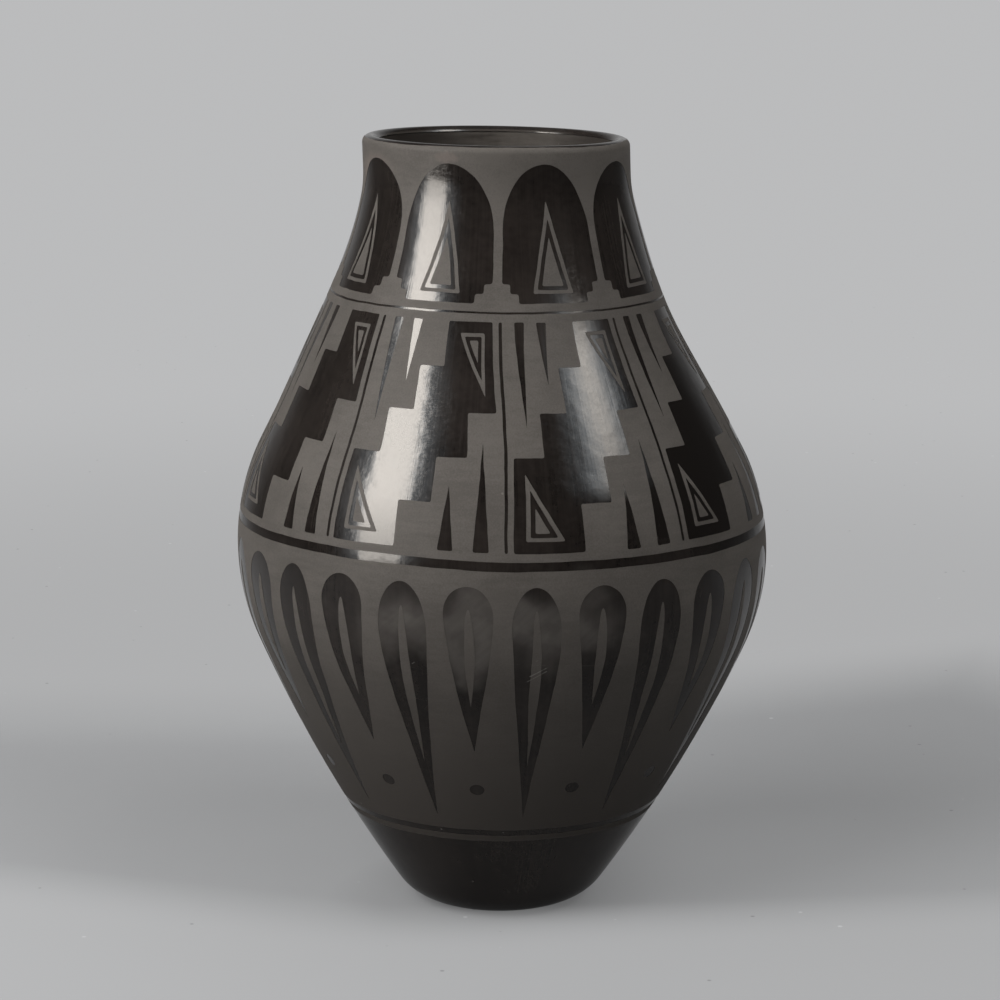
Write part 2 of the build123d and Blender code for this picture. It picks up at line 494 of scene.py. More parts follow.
def fed_by_name(kind, values, **options):
    """A node in the tree of its values, which go to the inputs that they are named for."""
    made = add_node(tree_of(values.values()), kind, **options)
    for name, value in values.items():
        feed(made.inputs[name], value)
    return made


def worked(kind, values, **options):
    """What a node that is fed by name puts out first."""
    return Field(fed_by_name(kind, values, **options).outputs[0])


def calculate(operation, *values):
    """A number that is worked out from others."""
    return Field(fed_in_order("ShaderNodeMath", values, operation=operation).outputs[0])


def combine(operation, *values):
    """A vector that is worked out from others."""
    return Field(fed_in_order("ShaderNodeVectorMath", values, operation=operation).outputs["Vector"])


def measure(operation, *values):
    """A number that is worked out from vectors."""
    return Field(fed_in_order("ShaderNodeVectorMath", values, operation=operation).outputs["Value"])


def stretch(vector, amount):
    """A vector made longer or shorter."""
    return worked("ShaderNodeVectorMath", {"Vector": vector, "Scale": amount}, operation="SCALE")


def parts_of(vector):
    """The three parts of a vector."""
    return [Field(socket) for socket in fed_in_order("ShaderNodeSeparateXYZ", [vector]).outputs]


def vector_from(across, along, up):
    """A vector from its three parts."""
    return Field(fed_in_order("ShaderNodeCombineXYZ", (across, along, up)).outputs[0])


def noise_pair(vector, scale, detail=2.0, roughness=0.5):
    """A soft random pattern, as a value and as a colour."""
    values = {"Vector": vector, "Scale": scale, "Detail": detail, "Roughness": roughness}
    value, colour = fed_by_name("ShaderNodeTexNoise", values, noise_dimensions="3D").outputs
    return Field(value), Field(colour)


def noise(vector, scale, detail=2.0, roughness=0.5):
    """A soft random pattern, as a value."""
    return noise_pair(vector, scale, detail, roughness)[0]


# The middle of a noise, as a value and as a colour
NOISE_MIDDLE = 0.5
GREY_MIDDLE = (NOISE_MIDDLE, NOISE_MIDDLE, NOISE_MIDDLE)


def remap(value, low, high, new_low=0.0, new_high=1.0, way="SMOOTHSTEP"):
    """A value between two limits, moved to two others and held there."""
    values = (value, low, high, new_low, new_high)
    return Field(fed_in_order("ShaderNodeMapRange", values, interpolation_type=way).outputs[0])


def total(*pairs):
    """The sum of values, each with its weight."""
    summed = 0.0
    for value, weight in pairs:
        summed = calculate("MULTIPLY_ADD", value, weight, summed)
    return summed


def full_colour(colour):
    """A colour with its fourth part."""
    return (*colour, 1.0)


def blend(share, first, second):
    """A colour between two others."""
    made = add_node(tree_of((share,)), "ShaderNodeMix", data_type="RGBA")
    sockets = {socket.identifier: socket for socket in made.inputs}
    feed(sockets["Factor_Float"], share)
    for name, colour in (("A_Color", first), ("B_Color", second)):
        feed(sockets[name], colour if isinstance(colour, Field) else full_colour(colour))
    return Field(next(socket for socket in made.outputs if socket.identifier == "Result_Color"))


GEOMETRY = "NodeSocketGeometry"
NUMBER = "NodeSocketFloat"
COUNT = "NodeSocketInt"
OBJECT = "NodeSocketObject"
MATERIAL = "NodeSocketMaterial"
VECTOR = "NodeSocketVector"
GEOMETRY_TREE = "GeometryNodeTree"
SHADER_TREE = "ShaderNodeTree"

# The kind of node that holds each kind of tree
GROUP_NODES = {GEOMETRY_TREE: "GeometryNodeGroup", SHADER_TREE: "ShaderNodeGroup"}

# Labels of the settings that shape every piece, and of those that make a painted edge waver
HAND_LABELS = ("Lean", "Bow", "Sway", "Rim Rise", "Tilt", "Undulation", "Undulation Size")
SHAPING_LABELS = ("Height",) + HAND_LABELS
WAVER_LABELS = ("Edge Wobble", "Wobble Size", "Hand Drift", "Drift Size")


def made_once(store, name):
    """Marks a function that makes a node group or a material, so that it is found by name after that."""

    def keep(make):
        @wraps(make)
        def found_or_made(*settings):
            return getattr(bpy.data, store).get(name) or make(name, *settings)

        return found_or_made

    return keep


def number_inputs(*labels):
    """Inputs that are numbers."""
    return tuple((label, NUMBER) for label in labels)


def new_group(name, kind, inputs, output):
    """A new node tree with named inputs and one output; gives the tree, its inputs and its output."""
    tree = bpy.data.node_groups.new(name, kind)
    for label, socket_type in inputs:
        tree.interface.new_socket(name=label, in_out="INPUT", socket_type=socket_type)
    label, socket_type = output
    tree.interface.new_socket(name=label, in_out="OUTPUT", socket_type=socket_type)
    given = {socket.name: Field(socket) for socket in add_node(tree, "NodeGroupInput").outputs}
    return tree, given, add_node(tree, "NodeGroupOutput").inputs[label]


def new_geometry_tree(name, inputs):
    """A new node tree that changes geometry."""
    return new_group(name, GEOMETRY_TREE, (("Geometry", GEOMETRY),) + inputs, ("Geometry", GEOMETRY))


def use_group(group, values):
    """Places a group in the tree of the values that it is fed by name."""
    return worked(GROUP_NODES[group.bl_idname], values, node_tree=group)


def picked(given, labels):
    """Some of a tree's own inputs, by their labels."""
    return {label: given[label] for label in labels}


def settings_called(group, labels):
    """The settings that go by some labels."""
    return {label: getattr(group, label.lower().replace(" ", "_")) for label in labels}


def shaping_values(settings):
    """The values that the hand shaping of every piece needs."""
    values = settings_called(settings.jar_outline, ("Height",))
    values.update(settings_called(settings.jar_hand_building, HAND_LABELS))
    return values


# Where the wall sways, and how far up and down from there, as shares of the height
SWAY_PLACE = 0.77
SWAY_REACH = 0.14

# Where the rise of the rim starts, as a share of the height
RIM_FROM = 0.88

# Up to where the foot stays as it is, and from where the wall is free to tilt and swell
FOOT_STILL = 0.02
WALL_LOOSE = 0.45

# What brings the bow to its full amount at half the height
BOW_PEAK = 4.0


@made_once("node_groups", "hand_shaping")
def hand_shaping_group(name):
    """A node group that gives a true round the lean and swellings of a jar built by hand."""
    tree, given, result = new_geometry_tree(name, number_inputs(*SHAPING_LABELS))
    position = Field(add_node(tree, "GeometryNodeInputPosition").outputs[0])
    across, along, up = parts_of(position)
    rise = up / given["Height"]

    # The middle bows and the mouth leans, and the foot stays where it is
    bow = rise * (1.0 - rise) * given["Bow"] * BOW_PEAK
    lean = rise * rise * given["Lean"]
    apart = calculate("ABSOLUTE", rise - SWAY_PLACE)
    aside = bow + lean + remap(apart, SWAY_REACH, 0.0) * given["Sway"]

    # The tilt and the swellings grow above the flat foot
    loose = remap(rise, FOOT_STILL, WALL_LOOSE)
    drop = across * loose * given["Tilt"]
    pattern = noise(position, scale=1.0 / given["Undulation Size"], detail=1.0)
    swell = remap(pattern, 0.0, 1.0, -1.0, 1.0, way="LINEAR") * loose * given["Undulation"]
    outward = combine("NORMALIZE", vector_from(across, along, 0.0))
    raised = remap(rise, RIM_FROM, 1.0) * given["Rim Rise"]
    move = combine("ADD", stretch(outward, swell), vector_from(aside, 0.0, raised - drop))
    feed(result, worked("GeometryNodeSetPosition", {"Geometry": given["Geometry"], "Offset": move}))
    return tree


# Radius of the ring on which the painter's hand strays, so that the pattern closes on itself round the jar
DRIFT_RADIUS = 0.09


@made_once("node_groups", "wrapping")
def wrapping_group(name):
    """A node group that lays a flat sheet round the jar: across is round it, along is up its outline."""
    inputs = (("Outline", GEOMETRY),) + number_inputs("Radius", *WAVER_LABELS)
    tree, given, result = new_geometry_tree(name, inputs)
    across, along, depth = parts_of(Field(add_node(tree, "GeometryNodeInputPosition").outputs[0]))
    turn = across / given["Radius"]
    ring_across = calculate("COSINE", turn) * DRIFT_RADIUS
    ring_along = calculate("SINE", turn) * DRIFT_RADIUS
    ring = vector_from(ring_across, ring_along, along)
    strayed = []
    for amount, size in (("Edge Wobble", "Wobble Size"), ("Hand Drift", "Drift Size")):
        pattern = noise_pair(ring, 1.0 / given[size], detail=1.0)[1]
        strayed.append(stretch(combine("SUBTRACT", pattern, GREY_MIDDLE), given[amount] * 2.0))
    aside, beyond, _ = parts_of(combine("ADD", *strayed))
    turn = turn + aside / given["Radius"]

    # The outline at that length gives the radius and the height, and its tangent the way outwards
    place = {"Curves": given["Outline"], "Length": along + beyond}
    sampled = fed_by_name("GeometryNodeSampleCurve", place, mode="LENGTH").outputs
    radius, _, height = parts_of(Field(sampled["Position"]))
    run, _, climb = parts_of(Field(sampled["Tangent"]))
    radius = depth * climb + radius
    right = radius * calculate("SINE", turn)
    back = radius * calculate("COSINE", turn) * -1.0
    position = vector_from(right, back, height - depth * run)
    feed(result, worked("GeometryNodeSetPosition", {"Geometry": given["Geometry"], "Position": position}))
    return tree


def merged(geometry, distance):
    """The geometry with points that touch made one."""
    return worked("GeometryNodeMergeByDistance", {"Geometry": geometry, "Distance": distance})


def realized(geometry):
    """The geometry with its instances made real."""
    return worked("GeometryNodeRealizeInstances", {"Geometry": geometry})


def outline_of(given):
    """The outline curve that the modifier names."""
    return Field(fed_by_name("GeometryNodeObjectInfo", {"Object": given["Outline"]}).outputs["Geometry"])


def hand_shaped(geometry, given):
    """The geometry after hand shaping, with the tree's own inputs."""
    return use_group(hand_shaping_group(), {"Geometry": geometry, **picked(given, SHAPING_LABELS)})


def end_tree(geometry, given, result):
    """Ends a tree with real geometry in its material."""
    values = {"Geometry": realized(geometry), "Material": given["Material"]}
    feed(result, worked("GeometryNodeSetMaterial", values))


@made_once("node_groups", "polished_coat")
def coat_tree(name):
    """The node tree of the polished coat: one sheet wrapped round the jar."""
    inputs = (("Outline", OBJECT), ("Material", MATERIAL)) + number_inputs("Radius", *SHAPING_LABELS)
    tree, given, result = new_geometry_tree(name, inputs)
    values = picked(given, ("Geometry", "Radius"))
    values["Outline"] = outline_of(given)

    # The edges of a coat don't waver, so the size of a waver only has to be more than nothing
    values.update({"Wobble Size": 1.0, "Drift Size": 1.0})
    wrapped = use_group(wrapping_group(), values)
    end_tree(hand_shaped(merged(wrapped, SEAM_GAP), given), given, result)
    return tree


@made_once("node_groups", "painted_row")
def paint_tree(name):
    """The node tree of a painted row: a tile repeated, wrapped round the jar and given a film's thickness."""
    inputs = (("Outline", OBJECT), ("Material", MATERIAL), ("Repeats", COUNT))
    inputs += number_inputs("Radius", "Repeat Width", "Thickness", *WAVER_LABELS, *SHAPING_LABELS)
    tree, given, result = new_geometry_tree(name, inputs)
    offset = vector_from(given["Repeat Width"], 0.0, 0.0)
    places = worked("GeometryNodeMeshLine", {"Count": given["Repeats"], "Offset": offset}, mode="OFFSET")
    repeated = worked("GeometryNodeInstanceOnPoints", {"Points": places, "Instance": given["Geometry"]})
    values = picked(given, ("Radius",) + WAVER_LABELS)
    values.update({"Geometry": realized(repeated), "Outline": outline_of(given)})
    wrapped = use_group(wrapping_group(), values)
    shaped = hand_shaped(merged(wrapped, SEAM_GAP), given)

    # The sheet is raised, and its own back closes it from below
    values = {"Mesh": shaped, "Offset Scale": given["Thickness"], "Individual": False}
    raised = worked("GeometryNodeExtrudeMesh", values, mode="FACES")
    back = worked("GeometryNodeFlipFaces", {"Mesh": shaped})
    both = add_node(tree, "GeometryNodeJoinGeometry")
    for side in (raised, back):
        feed(both.inputs["Geometry"], side)
    end_tree(merged(Field(both.outputs["Geometry"]), SEAM_GAP), given, result)
    return tree


@made_once("node_groups", "shaped_clay")
def clay_tree(name):
    """The node tree of a piece of clay: its loose triangles joined, then shaped by hand."""
    inputs = (("Material", MATERIAL),) + number_inputs(*SHAPING_LABELS)
    tree, given, result = new_geometry_tree(name, inputs)
    end_tree(hand_shaped(merged(given["Geometry"], SAME_POINT), given), given, result)
    return tree


def finished_piece(name, mesh, tree, values):
    """Runs a node tree on a mesh and keeps the result as a plain piece that rides with the jar."""
    piece = bpy.data.objects.new(name, mesh)
    bpy.context.scene.collection.objects.link(piece)
    modifier = piece.modifiers.new(name, "NODES")
    modifier.node_group = tree
    for item in tree.interface.items_tree:
        if item.item_type == "SOCKET" and item.in_out == "INPUT" and item.name in values:
            modifier[item.identifier] = values[item.name]
    bpy.context.view_layer.update()
    graph = bpy.context.evaluated_depsgraph_get()
    result = bpy.data.meshes.new_from_object(piece.evaluated_get(graph))
    if not result.polygons:
        raise RuntimeError(name + " has no faces")
    piece.modifiers.clear()
    piece.data = result
    bpy.data.meshes.remove(mesh)
    result.name = name
    result.polygons.foreach_set("use_smooth", [True] * len(result.polygons))
    result.set_sharp_from_angle(angle=SHARP_TURN)
    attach(piece, "root")
    return piece


# How the marks of a tool fade in and out: limits of a noise, and of the strength that it gives
MARKS_FADE = (0.3, 0.7, 0.35, 1.0)


@made_once("node_groups", "drawn_marks")
def drawn_marks_group(name):
    """A shader group for marks that a tool drew round the jar or up its wall."""
    inputs = (("Position", VECTOR),) + number_inputs("Around", "Along", "Break")
    tree, given, result = new_group(name, SHADER_TREE, inputs, ("Marks", NUMBER))
    across, along, up = parts_of(given["Position"])
    outward = combine("NORMALIZE", vector_from(across, along, 0.0))
    climb = vector_from(0.0, 0.0, up * given["Along"])
    place = combine("ADD", stretch(outward, given["Around"]), climb)
    pattern = noise(place, 1.0, detail=3.0, roughness=0.6)

    # The marks fade in and out in broad patches
    patches = noise(given["Position"], given["Break"], detail=1.0)
    strength = remap(patches, *MARKS_FADE)
    feed(result, (pattern - NOISE_MIDDLE) * strength + NOISE_MIDDLE)
    return tree


# How far the edge of a patch strays and where it fades, as shares of its reach, and how clouds thin it
PATCH_STRAY = 0.9
PATCH_FADE = (1.0, 0.4)
PATCH_CLOUDS = (0.25, 0.75, 0.8, 1.0)


@made_once("node_groups", "wear_and_shade_patch")
def wear_and_shade_patch_group(name):
    """A shader group for a cloudy patch round a point of the surface, for wear and for painted shade."""
    inputs = (("Position", VECTOR), ("Centre", VECTOR), ("Reach", VECTOR), ("Cloud Size", NUMBER))
    tree, given, result = new_group(name, SHADER_TREE, inputs, ("Worn", NUMBER))
    apart = combine("SUBTRACT", given["Position"], given["Centre"])
    cloud, shifts = noise_pair(given["Position"], 1.0 / given["Cloud Size"])

    # The clouds also move the edge of the patch in and out
    uneven = stretch(combine("SUBTRACT", shifts, GREY_MIDDLE), PATCH_STRAY)
    ragged = combine("ADD", combine("DIVIDE", apart, given["Reach"]), uneven)
    near = remap(measure("LENGTH", ragged), *PATCH_FADE)
    feed(result, near * remap(cloud, *PATCH_CLOUDS))
    return tree


# The share of a speck's size that is fully pale
SPECK_CORE = 0.5


@made_once("node_groups", "specks")
def specks_group(name):
    """A shader group for small pale specks, scattered by chance."""
    inputs = (("Position", VECTOR),) + number_inputs("Spacing", "Size", "Share")
    tree, given, result = new_group(name, SHADER_TREE, inputs, ("Specks", NUMBER))
    values = {"Vector": given["Position"], "Scale": 1.0 / given["Spacing"]}
    cells = fed_by_name("ShaderNodeTexVoronoi", values, feature="F1").outputs
    reach = given["Size"] / given["Spacing"]
    dot = remap(Field(cells["Distance"]), reach, reach * SPECK_CORE)
    chance = parts_of(Field(cells["Color"]))[0]
    feed(result, dot * calculate("LESS_THAN", chance, given["Share"]))
    return tree


# Depth counts for little, so that a scratch follows the wall but stays off the far side
SCRATCH_FLATTENED = (1.0, 0.04, 1.0)

# How closely the gaps in a scratch follow each other, and the limits of the noise that makes them
SCRATCH_GAP_SCALE = 420.0
SCRATCH_GAPS = (0.38, 0.58)


@made_once("node_groups", "scratch")
def scratch_group(name):
    """A shader group for a thin scratch on the front of the jar, from a start along a run."""
    inputs = (("Position", VECTOR), ("Start", VECTOR), ("Run", VECTOR), ("Width", NUMBER))
    tree, given, result = new_group(name, SHADER_TREE, inputs, ("Scratch", NUMBER))
    flat = combine("MULTIPLY", given["Position"], SCRATCH_FLATTENED)
    apart = combine("SUBTRACT", flat, given["Start"])
    length = measure("LENGTH", given["Run"])
    way = combine("NORMALIZE", given["Run"])
    along = calculate("MAXIMUM", measure("DOT_PRODUCT", apart, way), 0.0)
    nearest = stretch(way, calculate("MINIMUM", along, length))
    distance = measure("LENGTH", combine("SUBTRACT", apart, nearest))
    gaps = remap(noise(given["Position"], SCRATCH_GAP_SCALE), *SCRATCH_GAPS)
    feed(result, remap(distance, given["Width"], 0.0) * gaps)
    return tree


def marks(position, around, along, patch_size):
    """Tool marks on a material."""
    values = {"Position": position, "Around": around, "Along": along, "Break": 1 / patch_size}
    return use_group(drawn_marks_group(), values)


def wear_and_shade_patch(position, centre, reach, cloud_size, strength):
    """A cloudy patch on a material, for wear and for painted shade."""
    values = {"Position": position, "Centre": centre, "Reach": reach, "Cloud Size": cloud_size}
    return use_group(wear_and_shade_patch_group(), values) * strength


def specks(position, spacing, size, share):
    """Pale specks on a material."""
    values = {"Position": position, "Spacing": spacing, "Size": size, "Share": share}
    return use_group(specks_group(), values)


# Patches of wear and of painted shade: the centre, the reach each way, the size of the clouds and the
# strength.
# The scuffed patch below the belly's lines, in front
SCUFFED_PATCH = ((-0.003, -0.110, 0.1445), (0.075, 0.060, 0.026), 0.020, 1.0)

# Two places where the paint on the neck shows the clay below
SMUDGES = (
    ((-0.0215, -0.0525, 0.3262), (0.0060, 0.012, 0.0030), 0.0025, 0.4),
    ((-0.0520, -0.0240, 0.3190), (0.0120, 0.020, 0.0090), 0.008, 0.4),
)

# Painted shade on the right side of the shoulder, which darkens the slip where the lamps leave it dim
SHADED_SHOULDER_PATCH = ((0.078, -0.060, 0.205), (0.050, 0.070, 0.060), 0.030, 0.9)

# Painted shade on the left and right of the neck's inside, where the inner wall lies in shade
SHADED_NECK_SIDES = (
    ((-0.050, 0.020, 0.315), (0.045, 0.070, 0.060), 0.030, 1.0),
    ((0.052, 0.010, 0.320), (0.050, 0.080, 0.060), 0.030, 1.0),
)

# Where each scratch starts and how far it runs, across and up, on the scuffed patch, and how pale it is
SCRATCHES = (
    ((0.0119, 0.1250), (0.0091, 0.0050), 1.8),
    ((0.0105, 0.1225), (0.0080, 0.0046), 1.0),
    ((0.0010, 0.1310), (0.0420, -0.0030), 0.25),
    ((-0.0547, 0.1354), (0.0130, -0.0153), 0.5),
    ((-0.0350, 0.1293), (0.0008, 0.0006), 2.0),
    ((0.0142, 0.1318), (0.0008, 0.0002), 1.2),
)
SCRATCH_WIDTH = 0.00035
SCRATCH_DEPTH = -0.0043

# How strongly specks and scratches show
FLECK_STRENGTH = 0.5


def flecked(position, colour, dots, fleck):
    """A colour with pale dots and all the scratches on it."""
    pale = dots
    for (across, up), (run, climb), strength in SCRATCHES:
        start = (across, SCRATCH_DEPTH, up)
        values = {"Position": position, "Start": start, "Run": (run, 0.0, climb), "Width": SCRATCH_WIDTH}
        pale = calculate("MAXIMUM", use_group(scratch_group(), values) * strength, pale)
    return blend(pale * FLECK_STRENGTH, colour, fleck)


# On the scuffed patch: the slope of the wipe, how far the edge wanders, and limits of the noise, and of the
# wear that is left, for the spots of polish and for the streaks of the wipe
WIPE_SLOPE = -0.9
EDGE_WANDER = 0.045
POLISH_SPOTS = (0.32, 0.55, 0.72, 1.0)
WIPE_STREAKS = (0.35, 0.60, 0.86, 1.0)


def scuffed(position):
    """The scuffed patch on a material, with the streaks of a slanting wipe."""
    across, along, up = parts_of(position)
    slanting = vector_from(across, along, across * WIPE_SLOPE + up)
    wiped = marks(slanting, around=5.0, along=300.0, patch_size=0.02)

    # Its edge wanders up and down, and what was left of the polish shows through in spots
    wander = (noise(position, scale=32.0, detail=1.0) - NOISE_MIDDLE) * EDGE_WANDER
    worn = wear_and_shade_patch(vector_from(across, along, wander + up), *SCUFFED_PATCH)
    spots = remap(noise(position, scale=110.0, detail=3.0), *POLISH_SPOTS)
    return worn * spots * remap(wiped, *WIPE_STREAKS)


def rim_height(settings):
    """The height of the rim after hand shaping."""
    return settings.jar_outline.height + settings.jar_hand_building.rim_rise


def new_material(name):
    """A new material, its shader and the place on the piece."""
    material = bpy.data.materials.new(name)
    material.use_nodes = True
    tree = material.node_tree
    position = Field(add_node(tree, "ShaderNodeTexCoord").outputs["Object"])
    return material, tree.nodes["Principled BSDF"].inputs, position


def surface(shader, colour, roughness, height, depth):
    """Gives a shader its colour, its roughness and a bump of a true depth."""
    feed(shader["Base Color"], colour)
    feed(shader["Roughness"], roughness)
    feed(shader["Normal"], worked("ShaderNodeBump", {"Strength": 1.0, "Distance": depth, "Height": height}))


# Limits of the mixed noise between the dark and the light colour of the slip and the paint, and of the clay
TONES = (0.36, 0.64)
CLAY_TONES = (0.38, 0.62)

# The roughness of each finish before its marks are added
SLIP_ROUGHNESS = 0.02
PAINT_ROUGHNESS = 0.5
CLAY_ROUGHNESS = 0.45

# How strongly dust shows on the slip and on the paint, temper in the clay, and the rubbing of the stone on it
DUST_ON_SLIP = 0.97
DUST_ON_PAINT = 0.35
TEMPER_STRENGTH = 0.3
STONE_STRENGTH = 0.7

# Inside the lip: depths below the rim between which the slip thins and between which that ends, how much of
# the clay shows and how light it is, and distances to the right between which the slip is whole again
LIP_THINS = (0.0010, 0.0018)
LIP_ENDS = (0.0055, 0.0045)
LIP_BARED = 0.8
LIP_CLAY_TONE = 0.4
LIP_WHOLE = (0.036, 0.020)

# Heights between which the painted shade at the foot fades out and the painted light on the neck grows, how
# much lighter that painted light makes the paint, and how far the painted shade at the foot darkens it
# towards the slip's brown
FOOT_SHADE_FADES = (0.04, 0.16)
NECK_LIGHT_GROWS = (0.26, 0.32)
NECK_LIGHT_TONE = 0.35
FOOT_SHADE_SHARE = 0.45

# How much the strokes of the stone vary in height over the lip, and the limits between which they show
STROKE_REACH = 0.006
STROKES_SHOW = (0.0005, 0.003)


@made_once("materials", "stone_polished_slip")
def polished_slip_material(name, settings):
    """Black slip, rubbed up and down with a smooth stone."""
    colours = settings.jar_finishes
    material, shader, position = new_material(name)
    shader["IOR"].default_value = 1.38
    rubbed = marks(position, around=46.0, along=9.0, patch_size=0.05)
    fine_rubbed = marks(position, around=190.0, along=40.0, patch_size=0.03)
    cross_rubbed = marks(position, around=9.0, along=420.0, patch_size=0.02)
    ripple = noise(position, scale=150.0, detail=1.0)
    mottle = noise(position, scale=400.0)
    clouds = noise(position, scale=26.0, detail=3.0)
    grain = noise(position, scale=900.0)
    worn = scuffed(position)
    dots = specks(position, spacing=0.013, size=0.0006, share=0.16)

    body = total((clouds, 0.42), (mottle, 0.16), (rubbed, 0.30), (fine_rubbed, 0.12))
    # A patch of painted shade darkens the right side of the shoulder towards the dark slip
    tone = remap(body, *TONES) - wear_and_shade_patch(position, *SHADED_SHOULDER_PATCH)
    colour = blend(tone, colours.slip_dark, colours.slip_brown)

    # Inside the lip, apart from its right end, the slip is rubbed thin a millimetre below the rim, and the
    # clay shows
    across, _, up = parts_of(position)
    below = rim_height(settings) - (across * settings.jar_hand_building.tilt + up)
    inside = remap(below, *LIP_THINS) * remap(across, *LIP_WHOLE)
    inside = inside * remap(below, *LIP_ENDS, 0.0, LIP_BARED)
    bared = [low + (high - low) * LIP_CLAY_TONE for low, high in zip(colours.clay_dark, colours.clay_light)]
    colour = blend(worn * DUST_ON_SLIP, blend(inside, colour, bared), colours.dust)
    colour = flecked(position, colour, dots, colours.fleck)

    gloss = total((rubbed, 0.05), (fine_rubbed, 0.03), (cross_rubbed, 0.03), (clouds, 0.04))
    pits = remap(grain, 0.35, 0.75)
    gloss = total((gloss, 1.0), (pits, 0.09), (worn, 0.03), (dots, 0.03)) + SLIP_ROUGHNESS
    height = total((rubbed, 0.50), (fine_rubbed, 0.07), (cross_rubbed, 0.30))
    height = total((height, 1.0), (ripple, 1.1), (mottle, 0.22), (grain, 0.05))
    surface(shader, colour, gloss, height, depth=0.00008)
    return material


@made_once("materials", "brushed_matte_paint")
def matte_paint_material(name, settings):
    """Thin clay paint that stays matte, laid on with a chewed leaf brush."""
    colours = settings.jar_finishes
    material, shader, position = new_material(name)
    shader["Specular IOR Level"].default_value = 0.08
    brushed = marks(position, around=7.0, along=420.0, patch_size=0.03)
    rubbed = marks(position, around=46.0, along=7.0, patch_size=0.05)
    clouds = noise(position, scale=38.0, detail=5.0, roughness=0.6)
    grain = noise(position, scale=1500.0)
    worn = scuffed(position)
    dots = specks(position, spacing=0.015, size=0.0006, share=0.14)

    # Painted shade darkens it towards the foot, and painted light makes it lighter on the neck; laid is the
    # share clear of the shade at the foot
    up = parts_of(position)[2]
    laid = remap(up, *FOOT_SHADE_FADES)
    body = total((clouds, 0.40), (brushed, 0.30), (grain, 0.30))
    tone = remap(body, *TONES) * laid + remap(up, *NECK_LIGHT_GROWS, 0.0, NECK_LIGHT_TONE)
    colour = blend(tone, colours.paint_dark, colours.paint_light)
    colour = blend((1.0 - laid) * FOOT_SHADE_SHARE, colour, colours.slip_brown)
    for smudge in SMUDGES:
        colour = blend(wear_and_shade_patch(position, *smudge), colour, colours.smudge)
    colour = blend(worn * DUST_ON_PAINT, colour, colours.dust)
    colour = flecked(position, colour, dots, colours.fleck)

    gloss = total((clouds, 0.12), (brushed, 0.08), (worn, -0.06)) + PAINT_ROUGHNESS
    height = total((brushed, 0.5), (grain, 0.2), (rubbed, 0.6))
    surface(shader, colour, gloss, height, depth=0.00006)
    return material


@made_once("materials", "smoked_clay")
def smoked_clay_material(name, settings):
    """Bare clay, scraped and wiped round by hand, blackened by smoke, with painted shade on the neck's inner
    sides.
    """
    colours = settings.jar_finishes
    material, shader, position = new_material(name)
    shader["Specular IOR Level"].default_value = 0.06
    wiped = marks(position, around=3.0, along=480.0, patch_size=0.03)
    scraped = marks(position, around=5.0, along=90.0, patch_size=0.05)
    clouds = noise(position, scale=30.0, detail=5.0, roughness=0.6)
    grain = noise(position, scale=1100.0, detail=3.0)
    temper = specks(position, spacing=0.005, size=0.0005, share=0.25)
    body = total((clouds, 0.25), (wiped, 0.5), (scraped, 0.25))
    tone = remap(body, *CLAY_TONES)
    # Patches of painted shade darken the sides of the neck's inside
    for side in SHADED_NECK_SIDES:
        tone = tone * (1.0 - wear_and_shade_patch(position, *side))
    colour = blend(tone, colours.clay_dark, colours.clay_light)
    colour = blend(temper * TEMPER_STRENGTH, colour, colours.fleck)

    # The stone went a little way over the lip
    over = wiped * STROKE_REACH + parts_of(position)[2] - rim_height(settings)
    rubbed = remap(over, *STROKES_SHOW)
    colour = blend(rubbed * STONE_STRENGTH, colour, colours.slip_brown)
    gloss = total((clouds, 0.15), (wiped, 0.15), (rubbed, -0.25)) + CLAY_ROUGHNESS
    height = total((wiped, 0.8), (scraped, 1.0), (grain, 0.25))
    surface(shader, colour, gloss, height, depth=0.00025)
    return material


def dimmed(colour, share):
    """A colour with its parts made smaller or larger."""
    return [part * share for part in colour]


# Middle of the shaded part of the floor, behind the jar
FLOOR_SHADE = (0.0, 0.12, 0.0)

BLACK = (0.0, 0.0, 0.0)

# Shares of the colours of the floor and the ground: where they are dull, and in crumbs and lint
DULL_PAPER = 0.97
DULL_GROUND = 0.86
DARK_CRUMBS = 0.4
PALE_LINT = 1.3

# How strongly crumbs and lint show, and how much of the ground the polish reflects
CRUMB_STRENGTH = 0.45
LINT_STRENGTH = 0.5
GROUND_REFLECTED = 0.60

# Limits between which a shade of the floor fades, in metres to the right of the jar's axis, behind it or away
# from it, and what it fades from and to where that isn't from nothing to all
SHADOW_BAND_STARTS = (-0.04, 0.05)
SHADOW_BAND_ENDS = (0.28, 0.18)
LEFT_SHADOW = (0.02, -0.08, 0.0, 0.08)
FOOT_SHADOW_LEFT = (0.03, -0.03, 0.0, 0.2)
FOOT_SHADOW_AWAY = (0.085, 0.045)
SHADOW_LIFT_BEHIND = (0.25, 0.0, 0.05, 0.26)
SHADOW_LIFT_RIGHT = (-0.10, 0.12, 0.8, 1.25)
PALE_AHEAD = (0.01, -0.085, 0.0, 0.85)
PALE_BEHIND = (0.20, 0.36)
PALE_AWAY = (0.28, 0.45)
DIM_AHEAD = (0.27, -0.08)
DIM_LEFT = (-0.05, -0.50, 1.0, 0.6)
DIM_AWAY = (0.4, 1.6)
BRIGHT_LEFT = (0.05, -0.25, 0.0, 0.8)
BRIGHT_AHEAD = (0.25, 0.05)
BRIGHT_AWAY = (0.45, 1.3)

# How far from straight back the dim sides of the floor reach, as the cosine of that turn
DIM_TURN = (1.0, 0.58)

# How much the pale floor ahead slants back on the left, from a start beside the jar, and on the right, and
# how much the pale floor behind slants back on the right
LEFT_START = 0.05
AHEAD_LEFT_SLANT = 0.33
AHEAD_RIGHT_SLANT = 0.14
BEHIND_RIGHT_SLANT = 0.35

# The least distance from the axis that a direction is worked out for
LEAST_DISTANCE = 0.01


